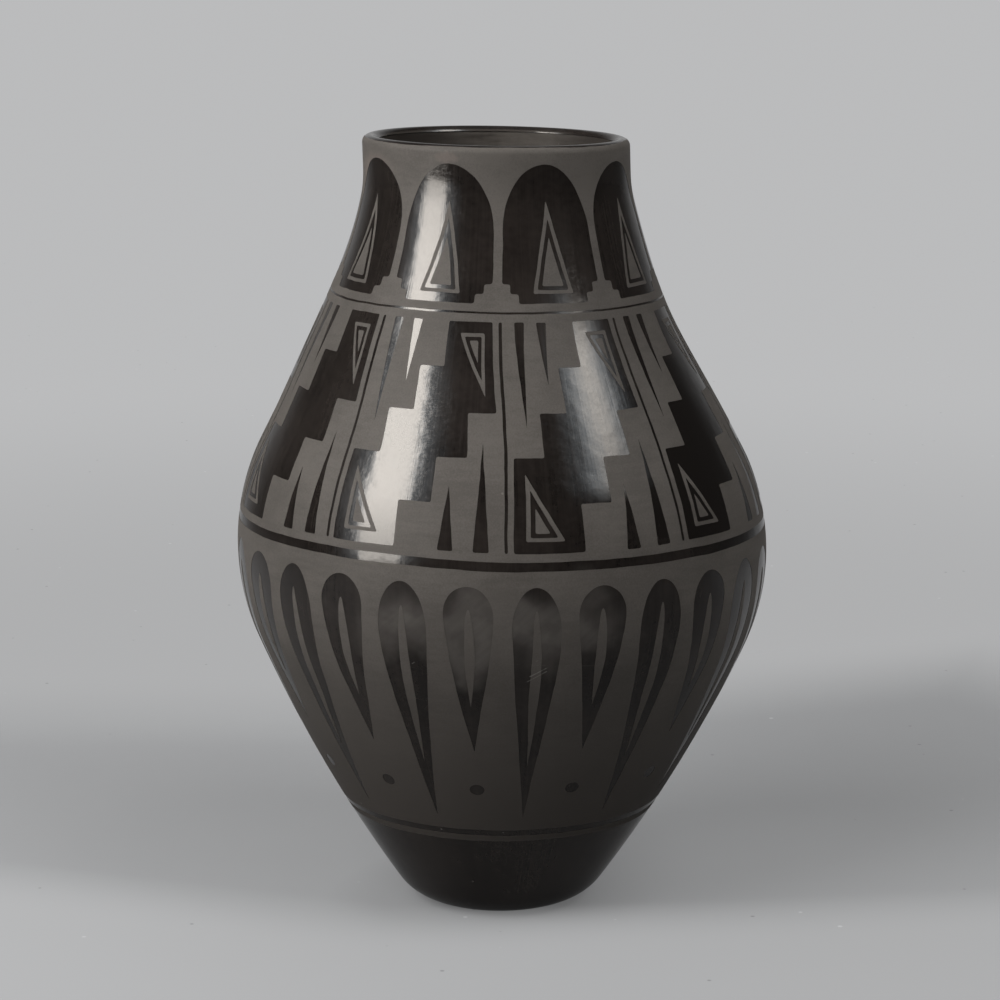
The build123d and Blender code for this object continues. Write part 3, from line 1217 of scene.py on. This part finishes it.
@made_once("materials", "pale_floor")
def floor_material(name, settings):
    """Pale paper, almost even, which fades into the same pale ground far from the jar."""
    colours = settings.jar_finishes
    material, shader, position = new_material(name)
    across, along, _ = parts_of(position)
    beside = measure("LENGTH", position)
    distance = measure("LENGTH", combine("SUBTRACT", position, FLOOR_SHADE))
    fibres = noise(position, scale=60.0, detail=4.0)
    crumbs = specks(position, spacing=0.012, size=0.0012, share=0.08) * CRUMB_STRENGTH
    lint = specks(position, spacing=0.016, size=0.0014, share=0.10) * LINT_STRENGTH

    def dusted(colour):
        dark = blend(crumbs, colour, dimmed(colours.floor, DARK_CRUMBS))
        return blend(lint, dark, dimmed(colours.ground, PALE_LINT))

    # Painted shadow: the paper is darker in a band behind the jar on its left, and close to its foot on the
    # left
    band = remap(along, *SHADOW_BAND_STARTS) * remap(along, *SHADOW_BAND_ENDS)
    left = remap(across, *LEFT_SHADOW) * band
    foot = remap(across, *FOOT_SHADOW_LEFT) * remap(beside, *FOOT_SHADOW_AWAY)
    paper = dusted(blend(fibres, dimmed(colours.floor, DULL_PAPER), colours.floor))
    feed(shader["Base Color"], blend(calculate("MAXIMUM", left, foot), paper, BLACK))
    feed(shader["Roughness"], fibres * 0.1 + 0.8)
    shader["Specular IOR Level"].default_value = 0.2

    # The camera sees a little of the pale ground near the jar, where this glow is painted light that lightens
    # the jar's shadows, and more in front, behind and far away
    rightwards = calculate("MAXIMUM", across, 0.0)
    leftwards = calculate("MAXIMUM", across * -1.0 - LEFT_START, 0.0)
    near = remap(along, *SHADOW_LIFT_BEHIND) * remap(across, *SHADOW_LIFT_RIGHT)
    slanted = along - leftwards * AHEAD_LEFT_SLANT - rightwards * AHEAD_RIGHT_SLANT
    ahead = remap(slanted, *PALE_AHEAD)
    behind = remap(along - rightwards * BEHIND_RIGHT_SLANT, *PALE_BEHIND)
    far = remap(distance, *PALE_AWAY)
    share = near
    for other in (ahead, behind, far):
        share = calculate("MAXIMUM", share, other)

    # The polish reflects a dim room in front, past the edge of the pale floor, and far off at the sides
    front = remap(along, *DIM_AHEAD) * remap(across, *DIM_LEFT)
    back = along / calculate("MAXIMUM", beside, LEAST_DISTANCE)
    sides = remap(beside, *DIM_AWAY) * remap(back, *DIM_TURN)
    tree = material.node_tree
    path = add_node(tree, "ShaderNodeLightPath").outputs
    glossy = Field(path["Is Glossy Ray"])
    seen = calculate("MAXIMUM", Field(path["Is Camera Ray"]) * share, glossy * GROUND_REFLECTED)

    # Painted light: the ground is paler far away and to the left, as if lit from that side
    left = remap(across, *BRIGHT_LEFT) * remap(along, *BRIGHT_AHEAD)
    paler = calculate("MAXIMUM", remap(distance, *BRIGHT_AWAY), left)
    ground = dusted(blend(paler, dimmed(colours.ground, DULL_GROUND), colours.ground))
    dim_room = [settings.jar_studio_light.room_front] * 3
    ground = blend(calculate("MAXIMUM", front, sides) * glossy, ground, dim_room)
    glow = worked("ShaderNodeEmission", {"Color": ground})
    paper_shader = Field(tree.nodes["Principled BSDF"].outputs[0])
    mixed = Field(fed_in_order("ShaderNodeMixShader", (seen, paper_shader, glow)).outputs[0])
    feed(tree.nodes["Material Output"].inputs["Surface"], mixed)
    return material


# Spacing of the coat's rows on the wall and over the lip, for its front and for its back
COAT_FRONT_STEPS = (0.0018, 0.0004)
COAT_BACK_STEPS = (0.006, 0.0012)


def coat_sheet(outline, shape, columns, radius):
    """The polished coat as a flat sheet with a front and a back, open only where its two sides will meet."""
    rows = [(length, 0.0) for length in outline.rows(*COAT_FRONT_STEPS)]
    rows += [(length, -shape.slip) for length in reversed(outline.rows(*COAT_BACK_STEPS))]
    step = FULL_TURN * radius / columns
    points = [(step * column, length, depth) for length, depth in rows for column in range(columns + 1)]
    stride = columns + 1
    faces = []
    for number in range(len(rows)):
        this = number * stride
        other = (number + 1) % len(rows) * stride
        for column in range(columns):
            faces.append((this + column, this + column + 1, other + column + 1, other + column))
    mesh = bpy.data.meshes.new("polished_coat")
    mesh.from_pydata(points, [], faces)
    return mesh


def painted_row(settings, name, tile, outline):
    """Makes a painted row from its tile."""
    paint = settings.jar_painted_rows
    holder = outline.as_curve()
    values = {
        **shaping_values(settings),
        **settings_called(paint, WAVER_LABELS),
        "Outline": holder,
        "Radius": tile.radius,
        "Repeats": tile.repeats,
        "Repeat Width": tile.width,
        "Thickness": paint.film + paint.sink,
        "Material": matte_paint_material(settings),
    }
    piece = finished_piece(name, tile.as_mesh(name, paint.sink), paint_tree(), values)
    remove_curve(holder)
    return piece


class JAR_OT_clay_wall(bpy.types.Operator):
    """Make the base and the rings of clay"""

    bl_idname = "jar.clay_wall"
    bl_label = "Clay Wall"
    bl_options = {"REGISTER", "UNDO"}

    def execute(self, context):
        settings = context.scene
        values = shaping_values(settings)
        values["Material"] = smoked_clay_material(settings)
        rings = [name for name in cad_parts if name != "slip_coat"]
        for name in rings:
            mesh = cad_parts[name].data.copy()
            mesh.materials.clear()
            piece = finished_piece("shaped_" + name, mesh, clay_tree(), values)
            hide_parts(name)
        return {"FINISHED"}


class JAR_OT_polished_coat(bpy.types.Operator):
    """Make the coat of polished slip"""

    bl_idname = "jar.polished_coat"
    bl_label = "Polished Coat"
    bl_options = {"REGISTER", "UNDO"}

    COLUMNS = 288

    def execute(self, context):
        settings = context.scene
        shape = settings.jar_outline
        outline = Outline(shape)
        radius = shape.belly_diameter / 2
        holder = outline.as_curve()
        values = shaping_values(settings)
        values["Outline"] = holder
        values["Radius"] = radius
        values["Material"] = polished_slip_material(settings)
        sheet = coat_sheet(outline, shape, self.COLUMNS, radius)
        piece = finished_piece("polished_coat", sheet, coat_tree(), values)
        remove_curve(holder)
        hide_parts("slip_coat")
        return {"FINISHED"}


class JAR_OT_neck_paint(bpy.types.Operator):
    """Paint the plain band under the lip and the row of arches on the neck"""

    bl_idname = "jar.neck_paint"
    bl_label = "Neck Paint"
    bl_options = {"REGISTER", "UNDO"}

    # Half the arch's width, the foot of its round and the steps of its sill, as shares of a repeat
    ARCH_HALF = 0.458
    ARCH_SPRING = 0.55
    SILL = ((0.31, 0.0), (0.31, 0.075), (0.385, 0.075), (0.385, 0.15), (ARCH_HALF, 0.15))
    ROUND_COUNT = 24

    # Half the peak's width, and how far it stands above the foot of the arch and below its crown
    PEAK_HALF = 0.0085
    PEAK_FOOT = 0.004
    PEAK_HEAD = 0.014

    def execute(self, context):
        settings = context.scene
        paint = settings.jar_painted_rows
        outline = Outline(settings.jar_outline)
        low = outline.length_at(paint.neck_bottom)
        high = outline.lip_start + outline.lip_round * paint.lip_turn
        tile = Tile(outline, paint.arches, low, high)
        floor = low + paint.framing_line
        crown = outline.length_at(paint.neck_top)

        def in_arch(aside, rise):
            return tile.spot(0.5 + aside, floor + rise * (crown - floor))

        def in_middle(aside, length):
            return tile.spot(0.5, length, aside)

        tile.draw(self.arch(), in_arch)
        foot = floor + self.PEAK_FOOT
        peak = [(-self.PEAK_HALF, foot), (self.PEAK_HALF, foot), (0.0, crown - self.PEAK_HEAD)]
        draw_nested_peak(tile, peak, in_middle, paint.fine_line)
        painted_row(settings, "neck_paint", tile, outline)
        return {"FINISHED"}

    def arch(self):
        """The edge of an arch of bare polished slip, on a stepped sill."""
        half = self.ARCH_HALF
        spring = self.ARCH_SPRING
        turns = [pi * number / self.ROUND_COUNT for number in range(self.ROUND_COUNT + 1)]
        crown = [(half * cos(turn), spring + (1 - spring) * sin(turn)) for turn in turns[1:-1]]
        left_sill = [(-aside, rise) for aside, rise in reversed(self.SILL)]
        return list(self.SILL) + [(half, spring)] + crown + [(-half, spring)] + left_sill


class JAR_OT_shoulder_paint(bpy.types.Operator):
    """Paint the row of stepped panels on the shoulder"""

    bl_idname = "jar.shoulder_paint"
    bl_label = "Shoulder Paint"
    bl_options = {"REGISTER", "UNDO"}

    # Corners of the steps as shares of a panel, from its lower left corner to its upper right one
    STEPS = ((0.40, 0.0), (0.40, 0.20), (0.60, 0.20), (0.60, 0.40), (0.80, 0.40), (0.80, 0.60), (1.0, 0.60))

    # Middle and height of the tapered slits in the lower steps
    SLITS = ((0.70, 0.28), (0.90, 0.47))
    SLIT_HALF = 0.045

    # The small peak in the open corner of a panel
    PEAK = ((0.07, 0.05), (0.29, 0.05), (0.07, 0.33))

    # The bare gap between the two lines that part the panels, in widths of a line
    GAP = 0.55

    def execute(self, context):
        settings = context.scene
        paint = settings.jar_painted_rows
        outline = Outline(settings.jar_outline)
        low = outline.length_at(paint.shoulder_bottom)
        high = outline.length_at(paint.shoulder_top)
        tile = Tile(outline, paint.step_panels, low, high)
        floor = low + paint.framing_line
        ceiling = high - paint.framing_line
        line = paint.brush_line
        gap = line * self.GAP

        def pane(share, rise):
            length = floor + rise * (ceiling - floor)
            left = tile.spot(0.0, length, line * 1.5 + gap)
            right = tile.spot(1.0, length, -line / 2)
            return left.lerp(right, share)

        def slot(share, rise):
            length = floor + rise * (ceiling - floor)
            return tile.spot(0.0, length, line / 2 + gap * share)

        tile.draw([(0, 0), (1, 0), (1, 1), (0, 1)], slot, softening=1)
        corners = [(0.0, 0.0)] + list(self.STEPS) + [(1.0, 1.0)] + self.turned(self.STEPS)
        tile.draw(corners, pane, softening=1)
        for share, rise in self.SLITS:
            slit = [(share - self.SLIT_HALF, 0.0), (share + self.SLIT_HALF, 0.0), (share, rise)]
            tile.draw(slit, pane, softening=1)
            tile.draw(self.turned(slit), pane, softening=1)
        for peak in (self.PEAK, self.turned(self.PEAK)):
            corners = [pane(*corner) for corner in peak]
            draw_nested_peak(tile, corners, lambda *spot: Vector(spot), paint.fine_line)
        painted_row(settings, "shoulder_paint", tile, outline)
        return {"FINISHED"}

    def turned(self, corners):
        """The same shape, half a turn round the middle of the panel."""
        return [(1 - share, 1 - rise) for share, rise in corners]


class JAR_OT_lower_paint(bpy.types.Operator):
    """Paint the row of hanging feathers on the lower wall and the line below it"""

    bl_idname = "jar.lower_paint"
    bl_label = "Lower Paint"
    bl_options = {"REGISTER", "UNDO"}

    # Middle, half width, top and tip of each feather and each quill, as shares of the row, and how far down
    # its length it is widest
    FEATHERS = (
        (0.25, 0.185, 0.975, 0.055, 0.16),
        (0.75, 0.185, 0.975, 0.36, 0.16),
        (0.25, 0.040, 0.90, 0.30, 0.5),
        (0.75, 0.040, 0.90, 0.55, 0.5),
    )
    ROUND_COUNT = 14
    TAPER_COUNT = 24
    TAPER_POWER = 1.35

    # Middle and height of the drop under a feather, as shares of the row, and its radius
    DROP = (0.75, 0.19, 0.0030)
    DROP_COUNT = 18

    # The line below the row is made in so many lengths
    LINE_REPEATS = 24

    def execute(self, context):
        settings = context.scene
        paint = settings.jar_painted_rows
        outline = Outline(settings.jar_outline)
        low = outline.length_at(paint.lower_bottom)
        high = outline.length_at(paint.lower_top)
        tile = Tile(outline, paint.feather_pairs, low, high)
        ceiling = high - paint.framing_line

        def place(share, rise):
            return tile.spot(share, low + rise * (ceiling - low))

        for feather in self.FEATHERS:
            tile.draw(self.feather(*feather), place, softening=1)
        share, rise, radius = self.DROP
        turns = [FULL_TURN * number / self.DROP_COUNT for number in range(self.DROP_COUNT)]
        middle = low + rise * (ceiling - low)
        drop = [(radius * cos(turn), middle + radius * sin(turn)) for turn in turns]
        tile.draw(drop, lambda aside, length: tile.spot(share, length, aside), softening=0)
        painted_row(settings, "lower_paint", tile, outline)

        line = Tile(outline, self.LINE_REPEATS, low - 2 * paint.framing_line, low - paint.framing_line)
        painted_row(settings, "lower_line_paint", line, outline)
        return {"FINISHED"}

    def feather(self, share, half, top, tip, shoulder):
        """The edge of a feather that hangs from its round end; the shoulder is where it is widest."""
        turns = [RIGHT_ANGLE * number / self.ROUND_COUNT for number in range(self.ROUND_COUNT)]
        round_end = [(half * sin(turn), shoulder * (1 - cos(turn))) for turn in turns]
        parts = [number / self.TAPER_COUNT for number in range(self.TAPER_COUNT + 1)]
        taper = [(half * (1 - part**self.TAPER_POWER), shoulder + (1 - shoulder) * part) for part in parts]
        right = [(share + width, top + (tip - top) * down) for width, down in round_end + taper]
        left = [(2 * share - across, rise) for across, rise in right[1:-1]]
        return right[::-1] + left


# The place on the jar's axis that the lamps face, and how far they stand from it
LIT_POINT = Vector((0.0, 0.0, 0.21))
LAMP_DISTANCE = 1.5

# Light through the pane of a window, and round it
WARM = (1.0, 0.945, 0.875)
COOL = (0.82, 0.92, 1.0)

# How fast the light round a pane falls off, and the share of a window's height that fades at each end
HALO_POWER = 1.6
WINDOW_FADE = 0.1


def area_lamp(name, around, rise, width, height, brightness, reflected=False, lean=0.0):
    """A lamp that faces the jar, by degrees to the right of the front, above it and leaning to the left. A
    reflected one shows in the polish and gives no other light."""
    lamp = bpy.data.lights.new(name, "AREA")
    lamp.shape = "RECTANGLE"
    lamp.size = width
    lamp.size_y = height
    lamp.energy = brightness * pi * width * height
    level = cos(radians(rise))
    out = Vector((sin(radians(around)) * level, -cos(radians(around)) * level, sin(radians(rise))))
    holder = bpy.data.objects.new(name, lamp)
    holder.location = LIT_POINT + out * LAMP_DISTANCE
    facing = out.to_track_quat("Z", "Y") @ Quaternion((0.0, 0.0, 1.0), radians(lean))
    holder.rotation_euler = facing.to_euler()
    holder.visible_camera = False
    holder.visible_diffuse = not reflected
    holder.visible_glossy = reflected
    bpy.context.scene.collection.objects.link(holder)
    return lamp


def soften_window(lamp, pane, edge, halo, low, low_end):
    """Makes a lamp a warm pane with a cool halo: the pane's half width, its soft edge, the halo's share of
    its brightness, the brightness at its foot and the height at which it is full, as shares of the lamp."""
    lamp.use_nodes = True
    tree = lamp.node_tree
    across, up, _ = parts_of(Field(add_node(tree, "ShaderNodeNewGeometry").outputs["Parametric"]))
    aside = calculate("ABSOLUTE", across - 0.5)
    core = remap(aside, pane + edge / 2, pane - edge / 2)
    around = calculate("POWER", remap(aside, 0.5, pane, way="LINEAR"), HALO_POWER)
    ends = remap(up, 0.0, WINDOW_FADE) * remap(up, 1.0, 1.0 - WINDOW_FADE)
    ends = ends * remap(up, 0.0, low_end, low, 1.0)
    emission = tree.nodes["Emission"].inputs
    feed(emission["Color"], blend(core, COOL, WARM))
    feed(emission["Strength"], total((core, 1.0 - halo), (around, halo)) * ends)


class JAR_OT_stage(bpy.types.Operator):
    """Set up the pale floor, the soft light and the camera"""

    bl_idname = "jar.stage"
    bl_label = "Stage"
    bl_options = {"REGISTER", "UNDO"}

    FLOOR_RADIUS = 30.0
    FLOOR_SIDES = 96
    OVERHEAD_PLACE = (0.0, 0.0, 3.0)
    OVERHEAD_SPREAD = radians(70)
    CAMERA_PLACE = (0.0, -1.250, 0.43057)
    CAMERA_DIP = radians(11.566)
    CAMERA_LENS = 106.8
    CAMERA_SENSOR = 36.0

    # How far back a direction points where the pale wall starts and where it is full, for all light and for
    # what the polish sees
    PALE_WALL = (-0.2, 0.9)
    SEEN_WALL = (0.58, 1.0)

    def execute(self, context):
        settings = context.scene
        self.make_floor(settings)
        self.make_lamps(settings)
        self.make_room(settings)
        self.make_camera(settings)
        settings.view_settings.view_transform = "Standard"
        return {"FINISHED"}

    def make_floor(self, settings):
        """A wide pale floor at the foot of the jar."""
        turns = [FULL_TURN * side / self.FLOOR_SIDES for side in range(self.FLOOR_SIDES)]
        points = [(self.FLOOR_RADIUS * cos(turn), self.FLOOR_RADIUS * sin(turn), 0.0) for turn in turns]
        mesh = bpy.data.meshes.new("floor")
        mesh.from_pydata(points, [], [list(range(self.FLOOR_SIDES))])
        mesh.materials.append(floor_material(settings))
        floor = bpy.data.objects.new("floor", mesh)
        settings.collection.objects.link(floor)

    def make_lamps(self, settings):
        """A lamp on each side and one above, and the bright windows that the polish reflects."""
        light = settings.jar_studio_light
        area_lamp("key_lamp", around=-59, rise=37, width=1.25, height=1.25, brightness=light.key)
        area_lamp("fill_lamp", around=62, rise=54, width=0.80, height=0.80, brightness=light.fill)
        key_window = area_lamp(
            "key_window",
            around=-54,
            rise=21,
            width=1.35,
            height=1.35,
            brightness=light.key_window,
            reflected=True,
            lean=8,
        )
        soften_window(key_window, pane=0.20, edge=0.05, halo=0.12, low=0.55, low_end=0.75)
        fill_window = area_lamp(
            "fill_window",
            around=62,
            rise=42,
            width=1.30,
            height=0.86,
            brightness=light.fill_window,
            reflected=True,
        )
        soften_window(fill_window, pane=0.16, edge=0.32, halo=0.20, low=0.0, low_end=0.45)
        lamp = bpy.data.lights.new("overhead_lamp", "SUN")
        lamp.energy = light.overhead
        lamp.angle = self.OVERHEAD_SPREAD
        holder = bpy.data.objects.new("overhead_lamp", lamp)
        holder.location = self.OVERHEAD_PLACE
        settings.collection.objects.link(holder)

    def make_room(self, settings):
        """A room that is dim behind the camera and pale behind the jar."""
        light = settings.jar_studio_light
        world = bpy.data.worlds.new("studio_room")
        world.use_nodes = True
        tree = world.node_tree
        back = parts_of(Field(add_node(tree, "ShaderNodeTexCoord").outputs["Generated"]))[1]
        broad = remap(back, *self.PALE_WALL)

        # The polish sees only the middle of the pale wall
        missed = remap(back, *self.SEEN_WALL) - broad
        glossy = Field(add_node(tree, "ShaderNodeLightPath").outputs["Is Glossy Ray"])
        room = blend(missed * glossy + broad, [light.room_front] * 3, [light.room_back] * 3)
        feed(tree.nodes["Background"].inputs["Color"], room)
        settings.world = world

    def make_camera(self, settings):
        """The camera of the photograph, level from side to side and dipped a little."""
        lens = bpy.data.cameras.new("camera")
        lens.lens = self.CAMERA_LENS
        lens.sensor_width = self.CAMERA_SENSOR
        lens.clip_end = 2 * self.FLOOR_RADIUS
        camera = bpy.data.objects.new("camera", lens)
        camera.location = self.CAMERA_PLACE
        camera.rotation_euler = (RIGHT_ANGLE - self.CAMERA_DIP, 0.0, 0.0)
        settings.collection.objects.link(camera)
        settings.camera = camera


SETTINGS = {
    "jar_outline": JarOutline,
    "jar_hand_building": HandBuilding,
    "jar_painted_rows": PaintedRows,
    "jar_finishes": JarFinishes,
    "jar_studio_light": StudioLight,
}

PIECE_OPERATORS = (
    JAR_OT_clay_wall,
    JAR_OT_polished_coat,
    JAR_OT_neck_paint,
    JAR_OT_shoulder_paint,
    JAR_OT_lower_paint,
    JAR_OT_stage,
)


class JAR_PT_pieces(bpy.types.Panel):
    """The jar's sizes, and a button for each of its pieces"""

    bl_idname = "JAR_PT_pieces"
    bl_label = "Pottery Jar"
    bl_space_type = "VIEW_3D"
    bl_region_type = "UI"
    bl_category = "Pottery Jar"

    def draw(self, context):
        layout = self.layout
        for operator in PIECE_OPERATORS:
            layout.operator(operator.bl_idname)
        for name in SETTINGS:
            group = getattr(context.scene, name)
            box = layout.box()
            for label in group.__annotations__:
                box.prop(group, label)


def register():
    for group in SETTINGS.values():
        bpy.utils.register_class(group)
    for name, group in SETTINGS.items():
        setattr(bpy.types.Scene, name, PointerProperty(type=group))
    for operator in PIECE_OPERATORS:
        bpy.utils.register_class(operator)
    bpy.utils.register_class(JAR_PT_pieces)


def unregister():
    bpy.utils.unregister_class(JAR_PT_pieces)
    for operator in reversed(PIECE_OPERATORS):
        bpy.utils.unregister_class(operator)
    for name, group in SETTINGS.items():
        delattr(bpy.types.Scene, name)
        bpy.utils.unregister_class(group)


def main():
    register()
    bpy.ops.jar.clay_wall()
    bpy.ops.jar.polished_coat()
    bpy.ops.jar.neck_paint()
    bpy.ops.jar.shoulder_paint()
    bpy.ops.jar.lower_paint()
    bpy.ops.jar.stage()


if __name__ == "__main__":
    main()
